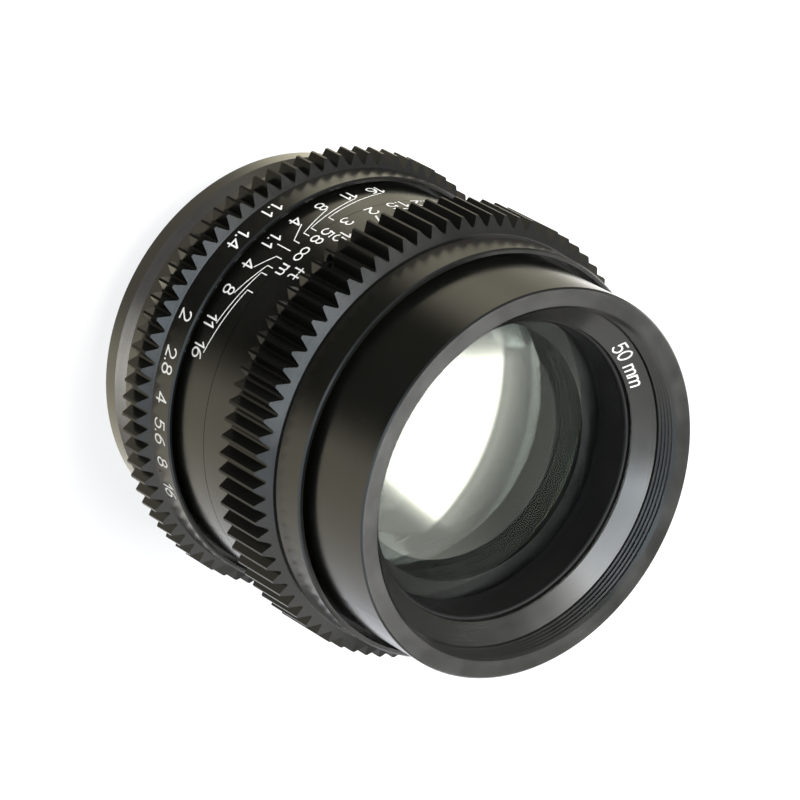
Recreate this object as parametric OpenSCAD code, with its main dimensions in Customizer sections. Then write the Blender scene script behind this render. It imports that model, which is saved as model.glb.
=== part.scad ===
// Cinema prime lens, 50 mm, standing on its mount with the optical axis along +Z.
// The origin is the centre of the mount flange. The index line faces -Y.
// Millimetres. The rest pose is focus at infinity with the aperture just under wide open.

/* [Stack along the axis] */
// Thickness of the mount plate
mount_plate_t = 1.2; // [1:0.1:2]
// Length of the rear housing
housing_len = 10.5; // [10:0.1:12]
// Straight length of the aperture gear teeth
ap_gear_w = 3.4; // [3.3:0.05:5]
// Length of the bevel in front of the aperture gear
ap_bevel_w = 1.05; // [0.8:0.05:1.6]
// Length of the smooth aperture scale band
ap_band_w = 4.3; // [4:0.05:6]
// Length of the fixed depth scale in front of the aperture ring
scale_w = 6.65; // [6:0.05:9]
// Gap between the fixed barrel and the focus sleeve
seam = 0.1; // [0.1:0.01:0.3]
// Length of the distance scale behind the focus gear
focus_scale_w = 8.45; // [8.4:0.05:11]
// Width of the focus gear
focus_gear_w = 9.75; // [9:0.05:12]
// Length of the focus sleeve in front of the gear
skirt_w = 5.7; // [5.5:0.05:8]
// Length of the front barrel in front of the focus sleeve, at infinity
front_reach = 12.3; // [11:0.1:15]

/* [Barrels] */
// Height of the helicoid thread above the guide radius
helicoid_h = 1; // [0.9:0.05:1.1]
// Wall of the fixed guide tube
guide_wall = 1.05; // [1:0.05:1.2]
// Step from the guide tube to its thinner neck
neck_step = 0.5; // [0.4:0.05:0.6]
// Wall of the focus sleeve outside its bearing
sleeve_wall = 0.8; // [0.75:0.05:1.2]
// Wall of the focus sleeve's open skirt
skirt_wall = 0.65; // [0.5:0.05:0.7]
// Depth of the open skirt
skirt_depth = 5.2; // [4:0.1:5.4]
// Step from the distance scale up to the gear seat and the skirt
gear_step = 0.7; // [0.65:0.05:0.9]
// Wall of the lens block tube
block_wall = 1.45; // [1.4:0.05:1.6]

/* [Gears] */
// Gear module of both lens gears
gear_module = 0.8; // [0.8:0.1:1]
// Least wall under the teeth of the focus gear
gear_wall = 1.1; // [1:0.05:1.4]
// Depth of a gear tooth
tooth_depth = 1.45; // [1.35:0.05:1.6]
// Width of the flat on top of a tooth
tooth_land = 0.4; // [0.3:0.05:0.6]
// Width of the flat between two teeth
tooth_gap = 0.35; // [0.3:0.05:0.6]
// Amount turned off the tips of the teeth
tooth_trim = 0.2; // [0.1:0.05:0.3]
// Length of the bevel at the front of the focus gear
focus_bevel_w = 1.35; // [1:0.05:1.8]
// Distance from the rear of the focus gear to its grub screws
grub_at = 1.4; // [1.3:0.1:4]

/* [Focus] */
// Advance of the lens block in one turn of the focus ring
helicoid_lead = 19.6; // [15:0.1:20]
// Turn of the focus ring from infinity to the near limit, in degrees
focus_throw = 117; // [90:1:120]
// Radius of the focus stop pin
stop_pin_r = 0.8; // [0.6:0.05:0.9]
// Width of the two guide keys
key_w = 3; // [2.5:0.1:4]
// Length of the two guide keys
key_len = 2.6; // [2:0.1:2.8]

/* [Aperture] */
// Turn of the aperture ring from wide open to the smallest stop, in degrees
ap_throw = 86.7; // [70:0.1:88]
// Turn of the aperture ring from wide open to the rest pose, in degrees
ap_rest = 7.2; // [0:0.1:20]
// Clear radius of the wide open iris
iris_open_r = 14.6; // [13:0.1:16]
// Clear radius of the iris at the smallest stop
iris_min_r = 1; // [0.6:0.1:2]
// Width of an iris blade
blade_w = 5; // [4.6:0.1:5.1]
// Thickness of an iris blade
blade_t = 0.1; // [0.06:0.01:0.12]
// Height from one iris blade to the next
blade_pitch = 0.17; // [0.15:0.01:0.2]
// Arc of an iris blade, in degrees
blade_span = 118; // [110:1:120]
// Distance from the wide open iris to the blade pivots
pivot_gap = 7.4; // [7.2:0.05:8]
// Gap from a blade at the smallest stop to the iris housing
iris_margin = 0.23; // [0.15:0.01:0.4]
// Wall of the iris housing
iris_wall = 1; // [0.8:0.05:1.2]
// Distance from a blade's pivot to its drive pin
blade_arm = 5.6; // [5.4:0.05:5.8]
// Radius of a blade pivot pin
pivot_pin_r = 0.5; // [0.4:0.02:0.55]
// Radius of a blade drive pin
drive_pin_r = 0.4; // [0.3:0.02:0.42]
// Radius of the rod that carries the aperture ring's turn to the iris
rod_r = 0.7; // [0.5:0.05:0.8]
// Gap between that rod and the rear cell
rod_gap = 1.1; // [0.8:0.05:1.2]

/* [Front] */
// Width of the front rim, from its outer edge to the filter thread
rim_w = 2.75; // [2.5:0.05:3.5]
// Pitch of the filter thread
filter_pitch = 0.75; // [0.5:0.05:1]
// Depth of the filter thread
filter_depth = 3.5; // [3:0.25:4.5]
// Width of the name ring
name_ring_w = 2.95; // [2.6:0.05:3.4]
// Fall of the name ring's face towards the glass
name_ring_fall = 1.8; // [1:0.1:2]
// Depth of the front glass's rim behind the front edge
glass_depth = 11.8; // [11:0.1:13]
// Width of the rim that holds the front glass
glass_rim_w = 0.5; // [0.4:0.05:0.8]

/* [Rear] */
// Wall of the rear housing around the fixed barrel
housing_wall = 0.9; // [0.8:0.05:1.2]
// Step from the rear housing's wall out to its grip band
housing_lip = 0.85; // [0.6:0.05:1.2]
// Step from the grip band down to the mount plate
mount_step = 1.2; // [1:0.1:1.4]
// Width of the mount flange outside the bayonet tube
flange_w = 5.65; // [5.5:0.05:6.5]
// Wall of the bayonet tube
bayonet_wall = 1.4; // [1:0.1:1.6]
// Height of the bayonet lugs
lug_h = 1.1; // [0.9:0.05:1.3]
// Thickness of the bayonet lugs
lug_t = 1.5; // [1.2:0.1:2]
// Arc of one bayonet lug, in degrees
lug_arc = 45; // [30:1:60]
// Reach of the bayonet tube behind the flange
bayonet_len = 5.2; // [4.8:0.1:6]
// Shank radius of the small screws
screw_r = 0.95; // [0.8:0.05:1]

/* [Fits] */
// Running clearance between turned parts, on the radius
run_fit = 0.05; // [0.03:0.01:0.08]
// Seating clearance between fixed parts, on the radius
seat_fit = 0.02; // [0.01:0.01:0.04]
// Axial play of the turning rings
play = 0.3; // [0.2:0.05:0.4]
// Edge chamfer of the visible rings
edge = 0.25; // [0.1:0.05:0.3]

/* [Hidden] */
$fn = 180;

black = [0.09, 0.09, 0.09];
matte = [0.05, 0.05, 0.05];
steel = [0.7, 0.7, 0.72];
clear_glass = [0.6, 0.75, 0.7, 0.5];
eps = 0.01;

// Stations along the axis
z_housing = mount_plate_t;
z_housing_top = z_housing + housing_len;
z_ap = z_housing_top + play;
z_ap_bevel = z_ap + ap_gear_w;
z_ap_band = z_ap_bevel + ap_bevel_w;
z_scale = z_ap_band + ap_band_w;
z_seam = z_scale + scale_w;
z_focus = z_seam + seam;
z_gear = z_focus + focus_scale_w;
z_skirt = z_gear + focus_gear_w;
z_skirt_front = z_skirt + skirt_w;
z_front = z_skirt_front + front_reach;
focus_travel = helicoid_lead * focus_throw / 360;

// Nested radii, from the open iris outwards
pivot_ring_r = iris_open_r + pivot_gap;
blade_turn = 2 * asin((iris_open_r - iris_min_r) / (2 * pivot_ring_r));
blade_ratio = blade_turn / ap_throw;
blade_rest = blade_ratio * ap_rest;
drive_boss = drive_pin_r + 0.3;
iris_cavity_r = norm(drive_pin_at(ap_throw)) + drive_boss + iris_margin;
iris_r = iris_cavity_r + iris_wall;
block_bore_r = iris_r + seat_fit + 0.03;
block_r = block_bore_r + block_wall;
guide_bore_r = block_r + run_fit;
guide_r = guide_bore_r + guide_wall;
neck_r = guide_r - neck_step;
sleeve_bore_r = guide_r + run_fit;
sleeve_flange_r = neck_r + run_fit;
barrel_r = sleeve_bore_r + sleeve_wall;
front_r = block_r + helicoid_h;
seat_r = barrel_r + gear_step;
gear_bore_r = seat_r + seat_fit;
skirt_bore_r = seat_r - skirt_wall - 0.05;
gear_teeth = round(2 * (gear_bore_r + gear_wall + tooth_depth + tooth_trim) / gear_module - 2);
gear_tip_r = gear_module * (gear_teeth + 2) / 2 - tooth_trim;
gear_root_r = gear_tip_r - tooth_depth;

// Fixed barrel
journal_r = barrel_r - 0.8;
spigot_r = journal_r - 1.9;
spigot_bore_r = spigot_r - 1.8;
spigot_len = 4.8;
z_spigot = z_housing_top - spigot_len;
z_land = z_scale - 3.5;
z_neck = z_focus + 4.1;
sleeve_flange_t = 1.8;
z_retainer = z_neck + play / 3 + sleeve_flange_t + play / 6;
retainer_t = 1.5;
z_guide_top = z_retainer + retainer_t + 0.5;

// Thickness of the iris and of the flange behind it
blade_count = 10;
iris_plate_t = 1.05;
blade_stack = (blade_count - 1) * blade_pitch + blade_t;
blade_gap = 0.12;
cam_t = 1;
cam_gap = 0.15;
iris_ring_t = 0.9;
iris_stack = iris_ring_t + 0.05 + cam_t + cam_gap + blade_stack + blade_gap + iris_plate_t;
rear_flange_t = 1.5;

// Lens block
z_helicoid = z_guide_top + play;
z_block_top = z_skirt - 0.95;
barrel_spigot_len = 3.5;
z_block_low = z_guide_bottom() + 0.4;
z_iris_top = z_block_low + rear_flange_t + iris_stack + 0.25;
septum_t = 1.4;
z_cell = z_iris_top + septum_t;
septum_r = iris_open_r + 2.6;

function z_guide_bottom() = z_land + 0.8;

// Helicoid nut inside the focus sleeve
nut_len = 5.4;
nut_seat_r = sleeve_bore_r + 0.6;
z_nut_top = z_skirt_front - skirt_depth;
z_nut = z_nut_top - nut_len;

// Focus stop and keys
z_stop = z_focus + 1.9;
z_grub = z_gear + grub_at;
stop_groove_r = barrel_r - 0.3;
stop_angle = 90;
key_angles = [0, 180];
key_depth = 1;
z_key = z_focus + 0.6;

// Aperture ring and its link
ap_bore_r = journal_r + run_fit;
ap_band_r = gear_root_r - 0.45;
ap_recess_r = ap_band_r - 0.6;
link_angle = 90;
link_t = 1.8;
link_w = 4.4;
z_link = z_ap + 1.5;
link_foot_r = ap_bore_r + 1.4;
link_play = 0.2;
rod_fit = 0.05;

// Iris
z_plate = z_iris_top - 0.05 - iris_plate_t;
z_blades = z_plate - blade_gap - blade_stack;
z_cam = z_blades - cam_gap - cam_t;
cam_r = iris_cavity_r - run_fit;
cam_bore_r = iris_open_r + 1.4;
pin_fit = 0.03;
cam_slot_steps = 14;
z_rod = z_link - focus_travel - 0.23;

// Front parts
filter_r = round(2 * (front_r - rim_w)) / 2;
filter_minor_r = filter_r - 0.54 * filter_pitch;
z_filter = z_front - filter_depth;
filter_lead = 0.4;
name_bore_r = filter_minor_r - 0.3;
name_seat_r = name_bore_r - 0.04;
name_ring_r = name_seat_r - name_ring_w;
name_ring_t = 0.65;
front_glass_r = name_ring_r - 0.45;
front_clear_r = front_glass_r - glass_rim_w;
z_name = z_filter - name_ring_fall - name_ring_t;
cell_r = block_bore_r - 0.05;
cell_front_r = name_seat_r - 0.55;
front_bore_r = block_bore_r;
z_front_glass = z_front - glass_depth;
front_glass_front = 2.2 * front_clear_r;
front_glass_back = 6.7 * front_clear_r;
front_glass_t = 7.5;
z_front_vertex = z_front_glass + sag(front_glass_front, front_clear_r);
z_front_back = z_front_vertex - front_glass_t;
retainer_bevel = 0.8;
lip_r = 0.5;

// Inner glasses: radius of the rim, then the radii of the faces and the thickness
third_clear_r = iris_open_r + 0.9;
third_glass_r = third_clear_r + 2;
second_glass_r = third_glass_r + 1.4;
second_front = 1.6 * second_glass_r;
second_back = 3.2 * second_glass_r;
second_t = 7;
z_second_vertex = z_front_back - 0.5;
z_second_back = z_second_vertex - second_t;
z_second_rim = z_second_back - sag(second_back, second_glass_r);
third_front = 6.9 * third_glass_r;
third_back = 1.19 * third_clear_r;
third_t = 2.2;
z_third_vertex = z_second_back - 2.3;
z_third_back = z_third_vertex - third_t;
z_third_rim = z_third_back - sag(third_back, third_clear_r);
glass_fit = 0.05;

// Rear group
rear_glass_r = iris_open_r + 0.9;
rear_cell_r = rear_glass_r + glass_fit + 1.25;
rod_ring_r = rear_cell_r + rod_gap + rod_r;
fourth_glass_r = rear_glass_r - 0.95;
fourth_clear_r = fourth_glass_r - 1.35;
fourth_front = 1.8 * fourth_clear_r;
z_fourth_rim = z_block_low + 0.1;
z_fourth_vertex = z_fourth_rim - sag(fourth_front, fourth_clear_r);
fourth_t = 2;
z_cement = z_fourth_vertex - fourth_t;
fifth_back = 1.95 * rear_glass_r;
fifth_t = 6;
z_fifth_vertex = z_cement - fifth_t;
rear_front = 2.9 * rear_glass_r;
rear_back = 5.8 * rear_glass_r;
rear_t = 5;
z_rear_vertex = z_fifth_vertex - 0.5;
z_rear_back = z_rear_vertex - rear_t;
rear_ring_in_r = rear_glass_r - 1.5;
rear_spacer_in_r = rear_glass_r - 0.9;
z_rear_ring_top = z_rear_back + sag(rear_back, rear_ring_in_r) - 0.05;
rear_ring_t = 1.7;
z_rear_cell = z_rear_ring_top - rear_ring_t - 0.2;

// Mount
housing_neck_r = spigot_r + housing_wall;
housing_r = housing_neck_r + housing_lip;
mount_plate_r = housing_r - mount_step;
bayonet_r = mount_plate_r - flange_w;
bayonet_bore_r = bayonet_r - bayonet_wall;
lug_r = bayonet_r + lug_h;
window_w = 1.45 * bayonet_bore_r;
window_h = 1.05 * bayonet_bore_r;
mount_relief = 0.3;
mount_seat_r = lug_r + 0.4;
housing_floor_t = 3;
housing_floor_r = bayonet_bore_r + 1;
housing_bore_r = spigot_bore_r - 0.7;
mount_screw_ring_r = (mount_seat_r + mount_plate_r) / 2;
mount_screw_count = 4;
mount_screw_angle = 45;
screw_head_r = screw_r + 0.9;
screw_sink = 0.05;
radial_screw_count = 3;
housing_screw_angle = 30;
lock_hole_angle = 90;
dot_angle = -90;
dot_r = 0.9;
dot_t = 0.5;

// Depth of a sphere of radius rad at the distance r from its axis
function sag(rad, r) = rad - sqrt(rad * rad - r * r);
// A point on a circle
function polar(r, a) = [r * cos(a), r * sin(a)];
// A rectangle in the half plane of a turned part
function band(r0, r1, z0, z1) = [[r0, z0], [r1, z0], [r1, z1], [r0, z1]];

// Solid of revolution about the optical axis
module turned(profile) {
  rotate_extrude() polygon(profile);
}

// Plain ring
module ring(r_in, r_out, z0, z1) {
  turned(band(r_in, r_out, z0, z1));
}

// Sector of a ring, from angle a0 over an arc
module sector(r_in, r_out, z0, z1, a0, arc) {
  rotate([0, 0, a0]) rotate_extrude(angle = arc) polygon(band(r_in, r_out, z0, z1));
}

// Radial cylinder from r0 to r1 at angle a and height z
module radial(r, r0, r1, z, a) {
  rotate([0, 0, a]) translate([r0, 0, z]) rotate([0, 90, 0]) cylinder(r = r, h = r1 - r0, $fn = 48);
}

// Flat bar between two points in the plane
module bar(p, q, w) {
  d = q - p;
  n = [-d.y, d.x] / norm(d) * w / 2;
  polygon([p + n, p - n, q - n, q + n]);
}

// Slotted or crossed driver recess, cut along +Z from z = 0
module cross_recess(w, len, depth) {
  for (a = [0, 90]) rotate([0, 0, a]) translate([-len / 2, -w / 2, -eps]) cube([len, w, depth + eps]);
}

// Outline of the gear teeth
module tooth_outline() {
  step = 360 / gear_teeth;
  half_land = tooth_land / 2 / gear_tip_r * 180 / PI;
  half_gap = tooth_gap / 2 / gear_root_r * 180 / PI;
  polygon([for (i = [0 : gear_teeth - 1]) let (a = -90 + (i + 0.5) * step) each [
    polar(gear_root_r, a - step / 2 + half_gap),
    polar(gear_tip_r, a - half_land),
    polar(gear_tip_r, a + half_land),
    polar(gear_root_r, a + step / 2 - half_gap)]]);
}

// Glass blank with a face at each end. A face radius above 0 curves the way a convex front face does.
module glass_blank(r, z_vertex, front, z_back, back, z_low, z_high) {
  intersection() {
    difference() {
      translate([0, 0, z_low]) cylinder(r = r, h = z_high - z_low);
      if (front < 0) translate([0, 0, z_vertex - front]) sphere(r = -front);
      if (back > 0) translate([0, 0, z_back - back]) sphere(r = back);
    }
    if (front > 0) translate([0, 0, z_vertex - front]) sphere(r = front);
    if (back < 0) translate([0, 0, z_back - back]) sphere(r = -back);
  }
}

// Mount

module bayonet_mount() color(steel) difference() {
  union() {
    turned([[bayonet_bore_r, -bayonet_len], [bayonet_r, -bayonet_len], [bayonet_r, mount_relief],
            [mount_seat_r, mount_relief], [mount_seat_r, 0], [mount_plate_r - edge, 0],
            [mount_plate_r, edge],
            [mount_plate_r, mount_plate_t], [bayonet_bore_r, mount_plate_t]]);
    for (i = [0 : 2])
      sector(bayonet_r - 0.3, lug_r, -bayonet_len, -bayonet_len + lug_t, 120 * i - lug_arc / 2,
        lug_arc);
  }
  for (i = [0 : mount_screw_count - 1]) mount_screw_place(i) screw_hole();
  rotate([0, 0, lock_hole_angle]) translate([mount_screw_ring_r, 0, -eps])
    cylinder(r = 1.1, h = 0.8, $fn = 48);
  rotate([0, 0, dot_angle]) translate([mount_screw_ring_r, 0, -eps])
    cylinder(r = dot_r + seat_fit, h = dot_t + eps, $fn = 48);
}

module mount_screw_place(i) {
  rotate([0, 0, mount_screw_angle + 360 / mount_screw_count * i])
    translate([mount_screw_ring_r, 0, 0]) children();
}

// Countersunk clearance hole through the mount plate
module screw_hole() {
  translate([0, 0, -eps]) cylinder(r = screw_r + 0.1, h = mount_plate_t + 2 * eps, $fn = 48);
  translate([0, 0, -eps]) cylinder(r1 = screw_head_r + 0.05 + eps, r2 = screw_r + 0.05,
    h = screw_head_r - screw_r, $fn = 48);
}

module mount_screws() color(steel) for (i = [0 : mount_screw_count - 1]) mount_screw_place(i)
  difference() {
  union() {
    translate([0, 0, screw_sink]) cylinder(r1 = screw_head_r - 0.02, r2 = screw_r,
      h = screw_head_r - screw_r - 0.1, $fn = 48);
    translate([0, 0, screw_sink + 0.4]) cylinder(r = screw_r,
      h = mount_plate_t + housing_floor_t - screw_sink - 0.8, $fn = 48);
  }
  translate([0, 0, screw_sink]) cross_recess(0.45, 2, 0.5);
}

module mount_index_dot() color("white") rotate([0, 0, dot_angle]) translate([mount_screw_ring_r, 0, 0])
  cylinder(r = dot_r, h = dot_t - 0.02, $fn = 48);

module rear_baffle() color(matte) difference() {
  translate([0, 0, -bayonet_len + 0.4]) cylinder(r = bayonet_bore_r - seat_fit, h = 0.8);
  translate([-window_w / 2, -window_h / 2, -bayonet_len]) cube([window_w, window_h, 2]);
}

// Rear housing

module rear_housing() color(black) difference() {
  turned([[housing_floor_r, z_housing], [housing_r - edge, z_housing], [housing_r, z_housing + edge],
          [housing_r, z_housing + 2.5], [housing_neck_r, z_housing + 4.1],
          [housing_neck_r, z_housing_top],
          [spigot_r + seat_fit, z_housing_top], [spigot_r + seat_fit, z_spigot - 0.1],
          [housing_bore_r, z_spigot - 0.1], [housing_bore_r, z_housing + housing_floor_t],
          [housing_floor_r, z_housing + housing_floor_t]]);
  for (i = [0 : mount_screw_count - 1]) mount_screw_place(i) translate([0, 0, z_housing - eps])
    cylinder(r = screw_r + seat_fit, h = housing_floor_t + 2 * eps, $fn = 48);
  radial_screws_space();
}

// Places of the screws that join the rear housing to the fixed barrel
module radial_screws_space() {
  for (i = [0 : radial_screw_count - 1])
    radial(screw_r + seat_fit, spigot_bore_r - 1, housing_r + 1, z_housing_top - 2.4,
           housing_screw_angle + 360 / radial_screw_count * i);
}

module housing_screws() color(steel) for (i = [0 : radial_screw_count - 1]) difference() {
  radial(screw_r, spigot_bore_r + 0.2, housing_neck_r - 0.1, z_housing_top - 2.4,
         housing_screw_angle + 360 / radial_screw_count * i);
  rotate([0, 0, housing_screw_angle + 360 / radial_screw_count * i])
    translate([housing_neck_r - 0.1, 0, z_housing_top - 2.4])
      rotate([0, -90, 0]) cross_recess(0.4, 1.3, 0.5);
}

// Fixed barrel, with the guide for the lens block and the bearing of both rings

module fixed_barrel() color(black) difference() {
  turned([[spigot_bore_r, z_spigot], [spigot_r, z_spigot], [spigot_r, z_housing_top],
    [journal_r, z_housing_top],
          [journal_r, z_land], [barrel_r, z_land], [barrel_r, z_seam],
          [guide_r, z_seam], [guide_r, z_neck], [neck_r, z_neck], [neck_r, z_guide_top],
          [guide_bore_r, z_guide_top], [guide_bore_r, z_guide_bottom()],
          [spigot_bore_r, z_guide_bottom()]]);
  radial_screws_space();
  sector(spigot_bore_r - 1, barrel_r + 1, z_link - link_play, z_link + link_t + link_play,
         link_angle - ap_throw + ap_rest - link_half_arc(spigot_bore_r),
         ap_throw + 2 * link_half_arc(spigot_bore_r));
  for (a = key_angles) rotate([0, 0, a]) translate([guide_bore_r - 1, -key_w / 2 - seat_fit,
    z_key - seat_fit])
    cube([guide_wall + 2, key_w + 2 * seat_fit, key_len + 2 * seat_fit]);
  radial(stop_pin_r + seat_fit, guide_bore_r - 1, barrel_r, z_stop, stop_angle);
}

// Half the arc that the link needs at radius r, with its play
function link_half_arc(r) = asin((link_w / 2 + 2 * link_play) / r);

module focus_keys() color(steel) for (a = key_angles) rotate([0, 0, a])
  translate([guide_bore_r - key_depth, -key_w / 2, z_key])
    cube([key_depth + guide_wall - 0.15, key_w, key_len]);

module focus_stop_pin() color(steel)
  radial(stop_pin_r, guide_bore_r + 0.1, stop_groove_r - 0.15, z_stop, stop_angle);

module focus_retaining_ring() color(matte) difference() {
  ring(neck_r + seat_fit, guide_r, z_retainer, z_retainer + retainer_t);
  for (a = [45, 225]) rotate([0, 0, a]) translate([neck_r - 1, -0.6,
    z_retainer + retainer_t - 0.6]) cube([3, 1.2, 1]);
}

// Focus ring

module focus_sleeve() color(black) difference() {
  turned([[sleeve_bore_r, z_focus], [barrel_r, z_focus], [barrel_r, z_gear],
          [seat_r, z_gear], [seat_r, z_skirt_front - edge], [seat_r - edge, z_skirt_front],
          [skirt_bore_r, z_skirt_front], [skirt_bore_r, z_nut_top], [nut_seat_r, z_nut_top],
          [nut_seat_r, z_nut],
          [sleeve_bore_r, z_nut], [sleeve_bore_r, z_neck + play / 3 + sleeve_flange_t],
          [sleeve_flange_r, z_neck + play / 3 + sleeve_flange_t], [sleeve_flange_r, z_neck + play / 3],
          [sleeve_bore_r, z_neck + play / 3]]);
  sector(guide_r, stop_groove_r, z_stop - stop_pin_r - 0.15, z_stop + stop_pin_r + 0.15,
         stop_angle - focus_throw - stop_half_arc(), focus_throw + 2 * stop_half_arc());
}

// Half the arc that the stop pin takes up in its groove
function stop_half_arc() = asin((stop_pin_r + 0.2) / guide_r);

module focus_gear() color(black) difference() {
  intersection() {
    translate([0, 0, z_gear]) linear_extrude(focus_gear_w) tooth_outline();
    turned([[gear_bore_r - 1, z_gear], [gear_tip_r + 1, z_gear],
      [gear_tip_r + 1, z_skirt - focus_bevel_w - focus_bevel_slope()],
            [gear_bore_r + edge, z_skirt], [gear_bore_r - 1, z_skirt]]);
  }
  translate([0, 0, z_gear - 1]) cylinder(r = gear_bore_r, h = focus_gear_w + 2);
  for (i = [0 : radial_screw_count - 1])
    radial(screw_r + seat_fit, seat_r - 1, gear_tip_r + 1, z_grub, grub_angle(i));
}

// Length of the focus gear's bevel for each unit of radius
function focus_bevel_slope() = focus_bevel_w / (gear_tip_r - gear_bore_r - edge);

// The gear's grub screws sit between teeth, one of them under the index line
function grub_angle(i) = -90 + round(gear_teeth / radial_screw_count * i) * 360 / gear_teeth;

module focus_gear_screws() color(steel) for (i = [0 : radial_screw_count - 1]) difference() {
  radial(screw_r, gear_bore_r + 0.05, gear_root_r - 0.1, z_grub, grub_angle(i));
  rotate([0, 0, grub_angle(i)]) translate([gear_root_r - 0.65, 0, z_grub]) rotate([0, 90, 0])
    cylinder(r = 0.5, h = 2, $fn = 6);
}

module helicoid_nut() color(matte)
  ring(front_r + run_fit, nut_seat_r - seat_fit, z_nut + seat_fit, z_nut_top);

// Aperture ring

module aperture_ring() color(black) difference() {
  union() {
    turned([[ap_bore_r, z_ap], [gear_root_r, z_ap],
            [gear_root_r, z_ap_bevel + tooth_depth * ap_bevel_slope()], [ap_band_r, z_ap_band],
            [ap_band_r, z_scale - edge], [ap_band_r - edge, z_scale], [ap_recess_r, z_scale],
            [ap_recess_r, z_land - play / 2], [ap_bore_r, z_land - play / 2]]);
    intersection() {
      translate([0, 0, z_ap]) linear_extrude(ap_gear_w + ap_bevel_w) tooth_outline();
      turned([[journal_r + 1, z_ap], [gear_tip_r + 1, z_ap],
        [gear_tip_r + 1, z_ap_bevel - ap_bevel_slope()],
              [ap_band_r, z_ap_band], [journal_r + 1, z_ap_band]]);
    }
  }
  link_pocket();
  radial(screw_r + seat_fit, ap_bore_r, gear_tip_r + 1, z_link + link_t / 2, link_angle);
}

// Length of the aperture gear's bevel for each unit of radius
function ap_bevel_slope() = ap_bevel_w / (gear_tip_r - ap_band_r);

// Pocket in the aperture ring for the foot of the link, open at the rear
module link_pocket() {
  rotate([0, 0, link_angle]) translate([ap_bore_r - 1, -link_w / 2 - seat_fit, z_ap - eps])
    cube([link_foot_r - ap_bore_r + 1 + seat_fit, link_w + 2 * seat_fit,
      z_link - z_ap + link_t + seat_fit + eps]);
}

module aperture_link() color(steel) rotate([0, 0, link_angle]) difference() {
  translate([rod_ring_r - rod_r - 0.4, -link_w / 2, z_link])
    cube([link_foot_r - rod_ring_r + rod_r + 0.4, link_w, link_t]);
  translate([0, -rod_r - rod_fit, z_link - 1]) cube([rod_ring_r, 2 * (rod_r + rod_fit), link_t + 2]);
  translate([rod_ring_r, 0, z_link - 1]) cylinder(r = rod_r + rod_fit, h = link_t + 2, $fn = 48);
  translate([link_foot_r - 2.2, 0, z_link + link_t / 2]) rotate([0, 90, 0])
    cylinder(r = link_screw_r() + seat_fit, h = 3, $fn = 48);
}

// The link's screw is thinner where it enters the link
function link_screw_r() = 0.6 * screw_r;

module link_screw() color(steel) rotate([0, 0, link_angle]) difference() {
  translate([0, 0, z_link + link_t / 2]) rotate([0, 90, 0]) union() {
    translate([0, 0, link_foot_r - 2]) cylinder(r = link_screw_r(), h = 2.5, $fn = 48);
    translate([0, 0, link_foot_r + 0.1]) cylinder(r = screw_r, h = gear_root_r - link_foot_r - 0.2,
      $fn = 48);
  }
  translate([gear_root_r - 0.1, 0, z_link + link_t / 2])
    rotate([0, -90, 0]) cross_recess(0.35, 1.2, 0.35);
}

// Lens block

module block_tube() color(matte) difference() {
  turned([[block_bore_r, z_block_low], [block_r, z_block_low], [block_r, z_helicoid],
    [front_r, z_helicoid],
          [front_r, z_block_top], [block_bore_r + 1.2, z_block_top],
          [block_bore_r + 1.2, z_block_top - barrel_spigot_len],
          [block_bore_r, z_block_top - barrel_spigot_len], [block_bore_r, z_cell], [septum_r, z_cell],
          [septum_r, z_iris_top], [block_bore_r, z_iris_top]]);
  for (a = key_angles) rotate([0, 0, a])
    translate([guide_bore_r - key_depth - 0.1, -key_w / 2 - run_fit, z_key - focus_travel - play])
      cube([key_depth + 1, key_w + 2 * run_fit, focus_travel + key_len + 2 * play]);
}

module front_barrel() color(black)
  turned(concat(
    [[front_bore_r, z_block_top - barrel_spigot_len + 0.1],
    [block_bore_r + 1.2 - seat_fit, z_block_top - barrel_spigot_len + 0.1],
     [block_bore_r + 1.2 - seat_fit, z_block_top + 0.05], [front_r, z_block_top + 0.05],
     [front_r, z_front - edge], [front_r - edge, z_front],
     [filter_r + 0.1, z_front], [filter_minor_r, z_front - filter_lead]],
    thread_grooves(),
    [[filter_minor_r, z_filter], [name_bore_r, z_filter], [name_bore_r, z_name - 0.5],
     [front_bore_r, z_name - 0.5 - front_bore_r + name_bore_r]]));

// Grooves of the filter thread, listed from the front to the rear
function thread_grooves() = [for (i = [0.5 : 1 : floor((filter_depth - filter_lead) / filter_pitch)])
  let (z = z_front - filter_lead - 0.03 - filter_pitch * i) each [
    [filter_minor_r, z + 0.44 * filter_pitch], [filter_r, z + 0.06 * filter_pitch],
    [filter_r, z - 0.06 * filter_pitch], [filter_minor_r, z - 0.44 * filter_pitch]]];

module name_ring() color(black)
  turned([[name_ring_r, z_name], [name_seat_r, z_name], [name_seat_r, z_filter],
          [name_ring_r, z_filter - name_ring_fall]]);

// Ring that holds the front glass, with a rounded lip under the name ring
module front_retaining_ring() color(matte) {
  z0 = z_front_glass + 0.05;
  z1 = z_name - 0.1 - lip_r;
  rotate_extrude() translate([name_ring_r - 0.15, z1]) circle(r = lip_r, $fn = 48);
  turned([[front_clear_r, z0], [front_clear_r + 0.25, z0 + retainer_bevel],
          [name_ring_r - 0.15 - lip_r, z1], [name_ring_r + 0.6, z1],
          [name_ring_r + 0.6, z_name - 3.5], [front_glass_r, z_name - 3.5], [front_glass_r, z0]]);
}

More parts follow.
